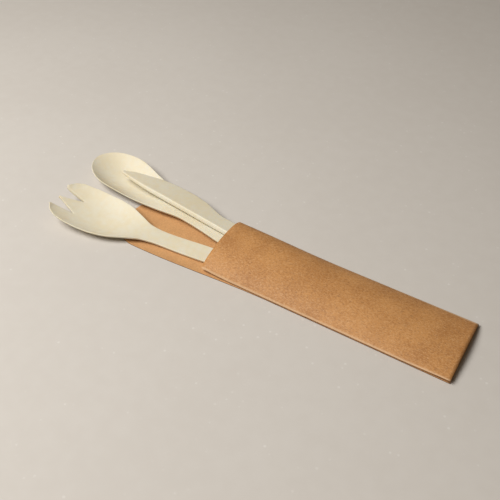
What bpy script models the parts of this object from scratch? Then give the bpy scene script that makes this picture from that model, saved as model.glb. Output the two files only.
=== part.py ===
"""Cutlery set: a fork, a spoon and a knife, their handles held in one folded card sleeve.

The sleeve lies along X with its mouth towards -X, its back panel flat on the table at z = 0,
and the origin under the middle of its front panel. The heads lie beyond the mouth. The fork's
handle lies on the back panel, the spoon's handle on the fork's and the knife on the spoon.
"""
import bpy
import bmesh
from math import atan, cos, pi, radians, sin, sqrt, tan
from mathutils import Matrix, Vector

MM = 0.001

# Card sleeve: front panel between two folds, back panel that runs on as a tongue, glue flap
CARD = 0.4 * MM
GLUE = 0.1 * MM
SLEEVE_LENGTH = 158.7 * MM
SLEEVE_WIDTH = 46.0 * MM
FOLD_RADIUS = 1.5 * MM
NEAR_MARGIN = 0.5 * MM
TONGUE_LENGTH = 72.0 * MM
TONGUE_FLARE = 4.3 * MM
FLARE_INSIDE = 49.0 * MM
FLARE_LENGTH = 96.0 * MM
TONGUE_CORNER = 21.0 * MM
CURL_LENGTH = 14.0 * MM
FLAP_WIDTH = 5.0 * MM
FLAP_TAPER = 2.5 * MM
FLAP_TAPER_LENGTH = 17.0 * MM
FLAP_LIFT = 1.4 * MM
GLUE_FROM_MOUTH = 19.0 * MM
GLUE_FROM_END = 29.0 * MM
SLEEVE_END_HEIGHT = 5.2 * MM
FRONT_SLACK = 0.05 * MM
ARCH_NEAR = (1.8, 1.6)
ARCH_FAR = (3.0, 1.9)
ARCH_END = (2.0, 1.25)

# Sizes that the fork, the spoon and the knife share
LENGTH = 175.0 * MM
HANDLE_WIDTH = 13.0 * MM
HANDLE_THICKNESS = 2.4 * MM
HANDLE_CORNER = 5.5 * MM
HEAD_WALL = 1.6 * MM
EDGE_ROUND = 0.45 * MM
CLEARANCE = 0.3 * MM

# Fork
FORK_HEAD_WIDTH = 37.4 * MM
FORK_NECK_WIDTH = 12.0 * MM
FORK_HEAD_LENGTH = 76.0 * MM
FORK_TIP_SPREAD = 20.6 * MM
FORK_DEPTH = 5.0 * MM
FORK_DEEPEST = 32.0 * MM
FORK_LEAD = 12.0 * MM
FORK_TIP_RISE = 5.4 * MM
TINE_LENGTH = 15.5 * MM
TINE_TIP = 1.0 * MM
MIDDLE_TINE_WIDTH = 13.2 * MM
FORK_TURN = radians(6.1)
FORK_MOUTH_Y = -11.4 * MM
FORK_INSERTED = 59.0 * MM

# Spoon
SPOON_BOWL_WIDTH = 34.9 * MM
SPOON_NECK_WIDTH = 11.6 * MM
SPOON_BOWL_LENGTH = 76.0 * MM
SPOON_ROUND_LENGTH = 26.0 * MM
SPOON_DEPTH = 7.2 * MM
SPOON_DEEPEST_SHARE = 0.35
SPOON_TIP_RISE = 0.5 * MM
SPOON_STAND = 0.1 * MM
SPOON_TURN = radians(-9.6)
SPOON_MOUTH_Y = 4.9 * MM
SPOON_INSERTED = 49.5 * MM

# Knife
KNIFE_BLADE_WIDTH = 18.9 * MM
KNIFE_NECK_WIDTH = 12.0 * MM
KNIFE_BLADE_LENGTH = 85.5 * MM
KNIFE_TIP_CURVE = 3.0 * MM
KNIFE_TIP_CURVE_LENGTH = 36.0 * MM
KNIFE_SPINE = 2.8 * MM
KNIFE_SPINE_BAND = 0.8 * MM
KNIFE_EDGE = 0.9 * MM
KNIFE_TURN = radians(-6.8)
KNIFE_MOUTH_Y = 4.6 * MM
KNIFE_INSERTED = 77.4 * MM
KNIFE_ROLL = radians(7.5)

# Finishes: linear base colour, roughness
KRAFT = (0.55, 0.30, 0.13, 1.0)
CREAM = (0.82, 0.74, 0.56, 1.0)
KRAFT_ROUGHNESS = 0.85
CREAM_ROUGHNESS = 0.45

# What follows from the sizes above
MOUTH_X = -SLEEVE_LENGTH / 2
END_X = SLEEVE_LENGTH / 2
TONGUE_X = MOUTH_X - TONGUE_LENGTH
BACK_Z = CARD / 2
FLAP_Z = BACK_Z + CARD + GLUE
FOLD_Z = BACK_Z + FOLD_RADIUS
FORK_Z = CARD + CLEARANCE
SPOON_DEEPEST = SPOON_DEEPEST_SHARE * SPOON_BOWL_LENGTH
SPOON_Z = FORK_Z + HANDLE_THICKNESS + CLEARANCE


def ease(t):
    """Smooth step from 0 to 1."""
    t = min(1.0, max(0.0, t))
    return t * t * (3 - 2 * t)


def through(points, t):
    """Smooth curve through (position, value) points that never overshoots them."""
    if t <= points[0][0]:
        return points[0][1]
    if t >= points[-1][0]:
        return points[-1][1]
    slopes = [(b[1] - a[1]) / (b[0] - a[0]) for a, b in zip(points, points[1:])]
    i = max(k for k in range(len(slopes)) if points[k][0] <= t)

    def tangent(k):
        if k == 0 or k == len(slopes):
            return 0.0
        before, after = slopes[k - 1], slopes[k]
        if before * after <= 0:
            return 0.0
        return 2 * before * after / (before + after)

    (x0, y0), (x1, y1) = points[i], points[i + 1]
    h = x1 - x0
    u = (t - x0) / h
    start, end = tangent(i) * h, tangent(i + 1) * h
    return (
        (2 * u**3 - 3 * u**2 + 1) * y0
        + (u**3 - 2 * u**2 + u) * start
        + (3 * u**2 - 2 * u**3) * y1
        + (u**3 - u**2) * end
    )


def spread(start, end, count, bunch=""):
    """Positions from start to end, closer together at the ends named in bunch."""
    out = []
    for i in range(count):
        t = i / count
        if bunch == "start":
            t = 1 - cos(t * pi / 2)
        elif bunch == "end":
            t = sin(t * pi / 2)
        out.append(start + (end - start) * t)
    return out


def clear_scene():
    for obj in list(bpy.data.objects):
        bpy.data.objects.remove(obj, do_unlink=True)
    for block in list(bpy.data.collections):
        bpy.data.collections.remove(block)


def collection(name):
    made = bpy.data.collections.new(name)
    bpy.context.scene.collection.children.link(made)
    return made


def finish(name, colour, roughness):
    material = bpy.data.materials.new(name)
    material.use_nodes = True
    shader = material.node_tree.nodes["Principled BSDF"]
    shader.inputs["Base Color"].default_value = colour
    shader.inputs["Roughness"].default_value = roughness
    shader.inputs["Metallic"].default_value = 0.0
    return material


def mapped_grid(bm, columns, rows, place):
    """Grid of columns by rows vertices, each moved to place(column, row)."""
    made = bmesh.ops.create_grid(
        bm, x_segments=columns - 1, y_segments=rows - 1, size=1.0
    )
    for vert in made["verts"]:
        column = round((vert.co.x + 1) / 2 * (columns - 1))
        row = round((vert.co.y + 1) / 2 * (rows - 1))
        vert.co = Vector(place(column, row))


def object_from(name, bm, home, material):
    bmesh.ops.remove_doubles(bm, verts=bm.verts, dist=0.00001)
    mesh = bpy.data.meshes.new(name)
    bm.to_mesh(mesh)
    bm.free()
    mesh.materials.append(material)
    obj = bpy.data.objects.new(name, mesh)
    home.objects.link(obj)
    return obj


def thicken(obj, thickness, offset, factor=None):
    """Wall on an open sheet; factor(point) scales it from place to place."""
    modifier = obj.modifiers.new("Wall", "SOLIDIFY")
    modifier.thickness = thickness
    modifier.offset = offset
    if factor is None:
        return
    group = obj.vertex_groups.new(name="wall")
    for vert in obj.data.vertices:
        group.add([vert.index], factor(vert.co), "REPLACE")
    modifier.vertex_group = group.name
    modifier.thickness_vertex_group = 0.0


def round_edges(obj, width):
    modifier = obj.modifiers.new("Edges", "BEVEL")
    modifier.width = width
    modifier.segments = 2
    modifier.limit_method = "ANGLE"
    modifier.angle_limit = radians(50)
    modifier.use_clamp_overlap = True


def placed(obj, inserted, mouth_y, turn, z, roll=0.0, pitch=0.0):
    """Set an implement's mouth crossing, turn and height; its local +X runs to the head."""
    matrix = laid_out(inserted, mouth_y, turn, z, roll, pitch)
    obj.location = matrix.to_translation()
    obj.rotation_euler = matrix.to_euler()


def laid_out(inserted, mouth_y, turn, z, roll=0.0, pitch=0.0):
    crossing = Matrix.Translation((MOUTH_X, mouth_y, z))
    heading = Matrix.Rotation(pi + turn, 4, "Z")
    lean = Matrix.Rotation(-pitch, 4, "Y") @ Matrix.Rotation(roll, 4, "X")
    return crossing @ heading @ lean @ Matrix.Translation((-inserted, 0, 0))


def handle_end(s, half):
    """Half width near the handle's rounded end."""
    if s >= HANDLE_CORNER:
        return half
    rounded = sqrt(max(0.0, HANDLE_CORNER**2 - (HANDLE_CORNER - s) ** 2))
    return half - HANDLE_CORNER + rounded


def dish(depth, across):
    """Drop below the rim at a place across the bowl, -1 to 1."""
    return depth * (1 - abs(across) ** 2.3)


def bowl_depth(to_tip, full, deepest, length, lead=0.0):
    """Depth along a bowl; lead is how far the hollow would run on past the tip."""
    if to_tip < deepest:
        return full * sin((to_tip + lead) / (deepest + lead) * pi / 2)
    return full * (1 - ease((to_tip - deepest) / (length - deepest)))


# Fork: one cupped sheet that splits into three pointed tines


def fork_half_width(s):
    to_tip = LENGTH - s
    head, neck = FORK_HEAD_WIDTH / 2, FORK_NECK_WIDTH / 2
    points = [
        (0.0, FORK_TIP_SPREAD / 2),
        (0.05 * FORK_HEAD_LENGTH, 0.78 * head),
        (0.13 * FORK_HEAD_LENGTH, 0.94 * head),
        (0.28 * FORK_HEAD_LENGTH, head),
        (0.42 * FORK_HEAD_LENGTH, 0.985 * head),
        (0.58 * FORK_HEAD_LENGTH, 0.89 * head),
        (0.76 * FORK_HEAD_LENGTH, 0.60 * head),
        (0.90 * FORK_HEAD_LENGTH, 1.17 * neck),
        (1.05 * FORK_HEAD_LENGTH, neck),
        (1.40 * FORK_HEAD_LENGTH, HANDLE_WIDTH / 2),
    ]
    return handle_end(s, through(points, to_tip))


def fork_rim(s):
    """Height of the rim above the underside of the handle."""
    to_tip = LENGTH - s
    head = HANDLE_THICKNESS + fork_head_rise()
    points = [
        (0.0, head + FORK_TIP_RISE),
        (0.10 * FORK_HEAD_LENGTH, head + 0.75 * FORK_TIP_RISE),
        (0.22 * FORK_HEAD_LENGTH, head + 0.38 * FORK_TIP_RISE),
        (0.42 * FORK_HEAD_LENGTH, head),
        (0.75 * FORK_HEAD_LENGTH, HANDLE_THICKNESS + 0.62 * fork_head_rise()),
        (1.00 * FORK_HEAD_LENGTH, HANDLE_THICKNESS + 0.16 * fork_head_rise()),
        (1.25 * FORK_HEAD_LENGTH, HANDLE_THICKNESS),
    ]
    return through(points, to_tip)


def fork_head_rise():
    """The bowl's underside ends level with the underside of the handle."""
    return FORK_DEPTH + HEAD_WALL - HANDLE_THICKNESS


def fork_surface(s, y):
    half = fork_half_width(s)
    across = min(1.0, abs(y) / half)
    depth = bowl_depth(LENGTH - s, FORK_DEPTH, FORK_DEEPEST, FORK_HEAD_LENGTH, FORK_LEAD)
    return (s, y, fork_rim(s) - dish(depth, across))


def fork_strip(side, s, t):
    """Place across one of the three strips, side -1, 0 or 1, t from 0 to 1."""
    half = fork_half_width(s)
    split = MIDDLE_TINE_WIDTH / 2 * min(1.0, half / (FORK_HEAD_WIDTH / 2))
    root = LENGTH - TINE_LENGTH
    middle = outer = split
    if s > root:
        along = (s - root) / TINE_LENGTH
        middle = split + (TINE_TIP / 2 - split) * along**0.92
        outer = split + (FORK_TIP_SPREAD / 2 - TINE_TIP - split) * along
    if side == 0:
        return middle * (2 * t - 1)
    return side * (outer + (half - outer) * t)


def wall_factor(s, length):
    """Share of the handle's thickness, thinner in the head."""
    thin = HEAD_WALL / HANDLE_THICKNESS
    return thin + (1 - thin) * ease((LENGTH - s - 0.6 * length) / (0.5 * length))


def make_fork(home, material):
    root = LENGTH - TINE_LENGTH
    neck = LENGTH - 1.1 * FORK_HEAD_LENGTH
    stops = spread(0.0, HANDLE_CORNER, 4, "start")
    stops += spread(HANDLE_CORNER, neck, 5)
    stops += spread(neck, root, 16)
    stops += spread(root, LENGTH, 6) + [LENGTH]
    bm = bmesh.new()
    for side, rows in ((-1, 4), (0, 5), (1, 4)):
        def place(column, row, side=side, rows=rows):
            s = stops[column]
            t = row / (rows - 1)
            if side < 0:
                t = 1 - t
            return fork_surface(s, fork_strip(side, s, t))
        mapped_grid(bm, len(stops), rows, place)
    obj = object_from("fork", bm, home, material)
    thicken(obj, HANDLE_THICKNESS, -1.0, lambda p: wall_factor(p.x, FORK_HEAD_LENGTH))
    round_edges(obj, EDGE_ROUND)
    placed(obj, FORK_INSERTED, FORK_MOUTH_Y, FORK_TURN, FORK_Z)


# Spoon: one sheet with a deep oval bowl


def spoon_half_width(s):
    to_tip = LENGTH - s
    bowl, neck = SPOON_BOWL_WIDTH / 2, SPOON_NECK_WIDTH / 2
    points = [
        (SPOON_ROUND_LENGTH, bowl),
        (0.63 * SPOON_BOWL_LENGTH, 0.85 * bowl),
        (0.92 * SPOON_BOWL_LENGTH, 0.61 * bowl),
        (1.20 * SPOON_BOWL_LENGTH, 1.03 * neck),
        (1.35 * SPOON_BOWL_LENGTH, neck),
        (1.65 * SPOON_BOWL_LENGTH, HANDLE_WIDTH / 2),
    ]
    half = through(points, to_tip)
    if to_tip < SPOON_ROUND_LENGTH:
        half *= sqrt(max(0.004, 1 - (1 - to_tip / SPOON_ROUND_LENGTH) ** 2))
    return handle_end(s, half)


def spoon_rim_share(s):
    """Share of the bowl's rise that the rim has reached."""
    points = [
        (0.35 * SPOON_BOWL_LENGTH, 1.0),
        (0.66 * SPOON_BOWL_LENGTH, 0.28),
        (0.95 * SPOON_BOWL_LENGTH, 0.08),
        (1.20 * SPOON_BOWL_LENGTH, 0.0),
    ]
    return through(points, LENGTH - s)


def spoon_depth(s):
    return bowl_depth(LENGTH - s, SPOON_DEPTH, SPOON_DEEPEST, SPOON_BOWL_LENGTH)


def spoon_rim_rise():
    """The bowl's underside stands just off the table while the handle lies on the fork."""
    needed = []
    for i in range(41):
        s = LENGTH - SPOON_BOWL_LENGTH * i / 40
        wall = HANDLE_THICKNESS * wall_factor(s, SPOON_BOWL_LENGTH)
        low = spoon_depth(s) + wall + SPOON_STAND - HANDLE_THICKNESS - SPOON_Z
        needed.append(low / spoon_rim_share(s))
    return max(0.0, *needed)


def spoon_rim(s):
    """Height of the rim above the underside of the handle."""
    tip = SPOON_TIP_RISE * (1 - ease((LENGTH - s) / SPOON_DEEPEST))
    return HANDLE_THICKNESS + spoon_rim_rise() * spoon_rim_share(s) + tip


def spoon_surface(s, across):
    return (s, across * spoon_half_width(s), spoon_rim(s) - dish(spoon_depth(s), across))


def make_spoon(home, material):
    rows = 11
    neck = LENGTH - 1.2 * SPOON_BOWL_LENGTH
    full = LENGTH - SPOON_ROUND_LENGTH
    stops = spread(0.0, HANDLE_CORNER, 4, "start")
    stops += spread(HANDLE_CORNER, neck, 4)
    stops += spread(neck, full, 12)
    stops += spread(full, LENGTH, 9, "end") + [LENGTH]

    def place(column, row):
        return spoon_surface(stops[column], 2 * row / (rows - 1) - 1)

    bm = bmesh.new()
    mapped_grid(bm, len(stops), rows, place)
    obj = object_from("spoon", bm, home, material)
    thicken(obj, HANDLE_THICKNESS, -1.0, lambda p: wall_factor(p.x, SPOON_BOWL_LENGTH))
    round_edges(obj, EDGE_ROUND)
    placed(obj, SPOON_INSERTED, SPOON_MOUTH_Y, SPOON_TURN, SPOON_Z)


# Knife: flat underside, straight thick spine on the near side, thin curved edge


def knife_width(s):
    """Reach of the cutting side from the straight line of the spine."""
    to_tip = LENGTH - s
    points = [
        (0.0, 0.28 * KNIFE_BLADE_WIDTH),
        (0.08 * KNIFE_BLADE_LENGTH, 0.49 * KNIFE_BLADE_WIDTH),
        (0.21 * KNIFE_BLADE_LENGTH, 0.71 * KNIFE_BLADE_WIDTH),
        (0.34 * KNIFE_BLADE_LENGTH, 0.90 * KNIFE_BLADE_WIDTH),
        (0.48 * KNIFE_BLADE_LENGTH, 0.98 * KNIFE_BLADE_WIDTH),
        (0.60 * KNIFE_BLADE_LENGTH, KNIFE_BLADE_WIDTH),
        (0.75 * KNIFE_BLADE_LENGTH, 0.93 * KNIFE_BLADE_WIDTH),
        (0.87 * KNIFE_BLADE_LENGTH, 0.77 * KNIFE_BLADE_WIDTH),
        (KNIFE_BLADE_LENGTH, KNIFE_NECK_WIDTH),
        (1.38 * KNIFE_BLADE_LENGTH, HANDLE_WIDTH),
    ]
    return through(points, to_tip)


def knife_near(s):
    """How far the spine has curved in from its straight line, near the tip."""
    share = max(0.0, 1 - (LENGTH - s) / KNIFE_TIP_CURVE_LENGTH)
    return KNIFE_TIP_CURVE * share**2


def knife_thickness(s, y):
    """Full spine along the near side, falling to the edge across the blade."""
    past_blade = LENGTH - s - 0.95 * KNIFE_BLADE_LENGTH
    blade = 1 - ease(past_blade / (0.5 * KNIFE_BLADE_LENGTH))
    spine = KNIFE_SPINE + (HANDLE_THICKNESS - KNIFE_SPINE) * (1 - blade)
    spine *= 0.62 + 0.38 * ease((LENGTH - s) / (0.5 * KNIFE_BLADE_LENGTH))
    across = y - knife_near(s) - KNIFE_SPINE_BAND
    fall = max(0.0, across) / (KNIFE_BLADE_WIDTH - KNIFE_SPINE_BAND)
    return spine - blade * (spine - KNIFE_EDGE) * min(1.0, fall)


def knife_stops():
    neck = LENGTH - KNIFE_BLADE_LENGTH
    stops = spread(0.0, HANDLE_CORNER, 4, "start")
    stops += spread(HANDLE_CORNER, neck, 7)
    return stops + spread(neck, LENGTH, 14) + [LENGTH]


def knife_pose():
    """Height at the mouth and pitch, from the handle's end and shoulder of the spoon."""
    spoon = laid_out(SPOON_INSERTED, SPOON_MOUTH_Y, SPOON_TURN, SPOON_Z)
    flat = laid_out(KNIFE_INSERTED, KNIFE_MOUTH_Y, KNIFE_TURN, 0.0).inverted()
    needed = []
    for i in range(41):
        s = i / 40 * (LENGTH - SPOON_ROUND_LENGTH)
        for side in (-1, 1):
            rim = flat @ spoon @ Vector((s, side * spoon_half_width(s), spoon_rim(s)))
            reach = -rim.y
            if 0 <= rim.x <= LENGTH and 0 <= reach <= knife_width(rim.x):
                needed.append((rim.x, rim.z + CLEARANCE + reach * tan(KNIFE_ROLL)))
    start_s, start_z = min(needed)
    slope = max((z - start_z) / (s - start_s) for s, z in needed if s > start_s)
    return start_z + (KNIFE_INSERTED - start_s) * slope, atan(slope)


def make_knife(home, material):
    rows = 6
    stops = knife_stops()
    shares = (0.0, 0.16, 0.37, 0.58, 0.79, 1.0)

    def place(column, row):
        s = stops[column]
        width = knife_width(s)
        corner = width / 2 - handle_end(s, width / 2)
        near = knife_near(s) + corner
        return (s, -near - (width - corner - near) * shares[rows - 1 - row], 0.0)

    bm = bmesh.new()
    mapped_grid(bm, len(stops), rows, place)
    obj = object_from("knife", bm, home, material)
    thicken(obj, KNIFE_SPINE, 1.0, lambda p: knife_thickness(p.x, -p.y) / KNIFE_SPINE)
    round_edges(obj, EDGE_ROUND * 0.75)
    z, pitch = knife_pose()
    placed(obj, KNIFE_INSERTED, KNIFE_MOUTH_Y, KNIFE_TURN, z, KNIFE_ROLL, pitch)


# Sleeve: one card sheet, back panel, far fold, front panel, near fold and glue flap


def arch_peak(x):
    """Height and place across of the front panel's highest line, steepest at the far end."""
    z, pitch = knife_pose()
    at_mouth = z + KNIFE_SPINE + CLEARANCE + CARD / 2 + FRONT_SLACK
    knife_end = MOUTH_X + KNIFE_INSERTED
    drop = tan(pitch) * min(x - MOUTH_X, KNIFE_INSERTED)
    fall = 2 * ease((x - knife_end) / (END_X - knife_end) / 2)
    end = SLEEVE_END_HEIGHT - CARD / 2
    height = (at_mouth - drop) * (1 - fall) + end * fall
    along = min(1.0, (x - MOUTH_X) / KNIFE_INSERTED)
    return height, KNIFE_MOUTH_Y * (1 - along)


def near_lift(x):
    """How far the near fold has sprung off the back panel, where no glue holds it."""
    from_glue = max(MOUTH_X + GLUE_FROM_MOUTH - x, x - (END_X - GLUE_FROM_END), 0.0)
    reach = GLUE_FROM_MOUTH if x < 0 else GLUE_FROM_END
    return FLAP_LIFT * ease(from_glue / reach)


def flap_width(x):
    to_end = min(x - MOUTH_X, END_X - x)
    return FLAP_WIDTH - FLAP_TAPER * (1 - min(1.0, to_end / FLAP_TAPER_LENGTH))


def front_point(x, t):
    """Front panel from the far fold, t = 0, to the near fold, t = 1."""
    peak, peak_y = arch_peak(x)
    near = t > 0.5
    edge_z = FOLD_Z + (near_lift(x) if near else 0.0)
    side = -SLEEVE_WIDTH / 2 if near else SLEEVE_WIDTH / 2
    share = abs(cos(t * pi))
    settled = ease((x - MOUTH_X) / KNIFE_INSERTED)
    shape = ARCH_NEAR if near else ARCH_FAR
    power, root = (a + (b - a) * settled for a, b in zip(shape, ARCH_END))
    rise = max(0.0, 1 - share**power) ** (1 / root)
    return (x, peak_y + (side - peak_y) * share, edge_z + (peak - edge_z) * rise)


def near_fold_point(x, t):
    """Near fold turning under the front panel, then the flap down to the back panel."""
    lift = near_lift(x)
    turn_z = FOLD_RADIUS - CARD - GLUE
    if t < 0.5:
        angle = pi * (1 + t)
        y = -SLEEVE_WIDTH / 2 + FOLD_RADIUS * (1 + cos(angle))
        return (x, y, FOLD_Z + lift + turn_z * sin(angle))
    along = 2 * t - 1
    y = -SLEEVE_WIDTH / 2 + FOLD_RADIUS + (flap_width(x) - FOLD_RADIUS) * along
    return (x, y, FLAP_Z + lift * (1 - ease(along)))


def tongue_share(x):
    """Width left at x by the tongue's rounded end."""
    past = (TONGUE_X + TONGUE_CORNER - x) / TONGUE_CORNER
    if past <= 0:
        return 1.0
    return max(0.02, 1 - past**2.2) ** (1 / 2.2)


def back_point(x, t, arc):
    """Back panel from its near edge to the far fold, then the fold's lower half."""
    flare = TONGUE_FLARE * ease((MOUTH_X + FLARE_INSIDE - x) / FLARE_LENGTH)
    near = -SLEEVE_WIDTH / 2 - NEAR_MARGIN - flare
    tangent = SLEEVE_WIDTH / 2 - FOLD_RADIUS
    share = tongue_share(x)
    middle = -flare / 2
    curl = ease(1 - (MOUTH_X - x) / CURL_LENGTH)
    if arc == 0:
        y = near + (tangent - near) * t
        return (x, middle + (y - middle) * share, BACK_Z)
    flat_y = tangent + FOLD_RADIUS * pi / 2 * arc
    flat_y = middle + (flat_y - middle) * share
    curled_y = tangent + FOLD_RADIUS * sin(arc * pi / 2)
    curled_z = FOLD_Z - FOLD_RADIUS * cos(arc * pi / 2)
    y = flat_y + (curled_y - flat_y) * curl
    return (x, y, BACK_Z + (curled_z - BACK_Z) * curl)


def make_glue_line(home):
    """Bead that joins the flap to the back panel where the sleeve is glued."""
    start, end = MOUTH_X + GLUE_FROM_MOUTH, END_X - GLUE_FROM_END
    low, high = CARD - GLUE / 2, CARD + 1.5 * GLUE
    near = -SLEEVE_WIDTH / 2 + FOLD_RADIUS
    far = -SLEEVE_WIDTH / 2 + FLAP_WIDTH - 2 * CARD
    size = Vector((end - start, far - near, high - low))
    middle = Vector(((start + end) / 2, (near + far) / 2, (low + high) / 2))
    bm = bmesh.new()
    matrix = Matrix.Translation(middle) @ Matrix.Diagonal((*size, 1))
    bmesh.ops.create_cube(bm, size=1.0, matrix=matrix)
    mesh = bpy.data.meshes.new("glue_line")
    bm.to_mesh(mesh)
    bm.free()
    obj = bpy.data.objects.new("glue_line", mesh)
    obj.hide_render = True
    obj.display_type = "WIRE"
    home.objects.link(obj)
    return obj


def make_sleeve(home, helpers, material):
    flat_rows, arc_rows, front_rows, fold_rows = 7, 4, 25, 9
    tube = spread(MOUTH_X, END_X, 15) + [END_X]
    round_start = TONGUE_X + TONGUE_CORNER
    tongue = spread(TONGUE_X, round_start, 7, "start")
    tongue += spread(round_start, MOUTH_X, 6)
    stops = tongue + tube

    def place_back(column, row):
        if row < flat_rows:
            return back_point(stops[column], row / (flat_rows - 1), 0)
        return back_point(stops[column], 1.0, (row - flat_rows + 1) / arc_rows)

    def place_front(column, row):
        if row < front_rows:
            return front_point(tube[column], row / (front_rows - 1))
        return near_fold_point(tube[column], (row - front_rows + 1) / (fold_rows - 1))

    bm = bmesh.new()
    mapped_grid(bm, len(stops), flat_rows + arc_rows, place_back)
    mapped_grid(bm, len(tube), front_rows + fold_rows - 1, place_front)
    obj = object_from("sleeve", bm, home, material)
    thicken(obj, CARD, 0.0)
    glue = obj.modifiers.new("Glue line", "BOOLEAN")
    glue.operation = "UNION"
    glue.object = make_glue_line(helpers)


def main():
    clear_scene()
    parts = collection("cutlery_set")
    helpers = collection("cutters")
    kraft = finish("kraft_card", KRAFT, KRAFT_ROUGHNESS)
    make_sleeve(parts, helpers, kraft)
    make_fork(parts, finish("fork_bioplastic", CREAM, CREAM_ROUGHNESS))
    make_spoon(parts, finish("spoon_bioplastic", CREAM, CREAM_ROUGHNESS))
    make_knife(parts, finish("knife_bioplastic", CREAM, CREAM_ROUGHNESS))
    bpy.context.view_layer.update()


main()
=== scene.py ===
"""Looks for a fork, a spoon and a knife of cream bioplastic held in a folded card sleeve.

The sleeve lies along X with its mouth towards -X and its back panel on the table at z = 0.
Each implement is first shaped along its own +X, from handle to head, and then laid in place.
In the functions, x is a place along the sleeve and s a place along an implement.
"""
from math import cos, pi, radians, sin, sqrt, tan

import bmesh
import bpy
from bpy.props import FloatProperty, FloatVectorProperty, PointerProperty
from mathutils import Matrix, Vector


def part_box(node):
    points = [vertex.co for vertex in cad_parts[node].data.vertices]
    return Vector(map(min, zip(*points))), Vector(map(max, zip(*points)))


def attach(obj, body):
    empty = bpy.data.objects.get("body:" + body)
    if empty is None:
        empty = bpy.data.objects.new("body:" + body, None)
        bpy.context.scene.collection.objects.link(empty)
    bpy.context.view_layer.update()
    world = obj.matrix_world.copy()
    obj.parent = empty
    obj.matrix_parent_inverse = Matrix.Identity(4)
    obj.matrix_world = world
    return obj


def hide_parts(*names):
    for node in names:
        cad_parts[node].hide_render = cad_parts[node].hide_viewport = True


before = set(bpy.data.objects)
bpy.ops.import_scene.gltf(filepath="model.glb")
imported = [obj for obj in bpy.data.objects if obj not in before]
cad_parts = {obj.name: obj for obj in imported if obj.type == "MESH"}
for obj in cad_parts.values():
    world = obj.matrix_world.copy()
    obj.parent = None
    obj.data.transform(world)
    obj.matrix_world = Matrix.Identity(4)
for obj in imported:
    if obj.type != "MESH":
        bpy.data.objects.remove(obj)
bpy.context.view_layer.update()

bl_info = {
    "name": "Card Sleeve Cutlery Set",
    "version": (1, 0, 0),
    "blender": (4, 5, 0),
    "location": "View3D > Sidebar > Cutlery",
    "description": "Builds a fork, a spoon and a knife in a card sleeve, with their stage",
    "category": "Add Mesh",
}

MM = 0.001
SLEEVE_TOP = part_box("sleeve")[1][2]
MERGE_DISTANCE = 0.005 * MM


# Settings


def size(name, description, millimetres):
    """A length property, with its default in millimetres."""
    return FloatProperty(
        name=name, description=description, default=millimetres * MM, unit="LENGTH", precision=5
    )


def angle(name, description, degrees):
    """An angle property, with its default in degrees."""
    return FloatProperty(
        name=name, description=description, default=radians(degrees), unit="ROTATION"
    )


def colour(name, description, rgb):
    """A linear colour property."""
    return FloatVectorProperty(
        name=name, description=description, default=rgb, size=3, subtype="COLOR", min=0, max=1
    )


def share(name, description, value):
    """A plain number between 0 and 1."""
    return FloatProperty(
        name=name, description=description, default=value, min=0.0, max=1.0, subtype="FACTOR"
    )


class SleeveSettings(bpy.types.PropertyGroup):
    length: size("Length", "Length of the front panel", 158.7)
    width: size("Width", "Width across both folds", 46.0)
    card: size("Card", "Thickness of the card", 0.4)
    fold_radius: size("Fold radius", "Radius of the long folds", 1.5)
    near_margin: size("Near margin", "How far the back panel runs past the half width", 0.6)
    near_overhang: size("Near overhang", "How far the near fold bulges past the half width", 0.9)
    tongue_length: size("Tongue length", "How far the back panel runs past the mouth", 72.0)
    tongue_flare: size("Tongue flare", "How much the tongue widens", 4.3)
    flare_inside: size("Flare inside", "How far inside the mouth the tongue starts to widen", 49.0)
    flare_length: size("Flare length", "Length over which the tongue widens", 96.0)
    tongue_corner: size("Tongue corner", "Length of the tongue's rounded end", 21.0)
    curl_length: size("Curl length", "How soon the far fold flattens past the mouth", 14.0)
    edge_curl: size("Edge curl", "How far the back panel's near edge turns up", 0.25)
    edge_curl_width: size("Edge curl width", "Width of the strip that turns up", 2.5)
    flap_width: size("Flap width", "Width of the glue flap", 5.0)
    flap_taper: size("Flap taper", "How much narrower the glue flap is at its ends", 2.5)
    flap_taper_length: size("Flap taper length", "Length over which the glue flap narrows", 17.0)
    glue: size("Glue", "Thickness of the glue under the flap", 0.1)
    glued_lift: size("Glued lift", "How far the near fold stands off the back panel along the glue", 0.5)
    flap_lift: size("Flap lift", "How far the near fold springs up where no glue holds it", 1.4)
    glue_from_mouth: size("Glue from mouth", "Unglued length at the mouth", 19.0)
    glue_from_end: size("Glue from end", "Unglued length at the other end", 29.0)
    end_height: size("End height", "Height of the open end", 5.2)


class ImplementSettings(bpy.types.PropertyGroup):
    length: size("Length", "Overall length of each implement", 175.0)
    handle_width: size("Handle width", "Width of each handle", 13.0)
    handle_thickness: size("Handle thickness", "Thickness of each handle", 2.4)
    handle_corner: size("Handle corner", "Corner radius of each handle's end", 5.5)
    head_wall: size("Head wall", "Wall thickness of the bowls", 1.6)
    tuck: size("Tuck", "How far the underside is drawn in from the sides", 0.85)
    undercut: share("Undercut", "Share of each side that slopes in to the underside", 0.6)
    rounded: share("Rounded", "Share of each side that is rounded at the top", 0.12)
    round_drop: size("Rounding drop", "How far the rounding lowers the upper edge", 0.12)
    rim_crease: share("Rim crease", "How firmly the rims keep their edge", 0.55)


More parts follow.
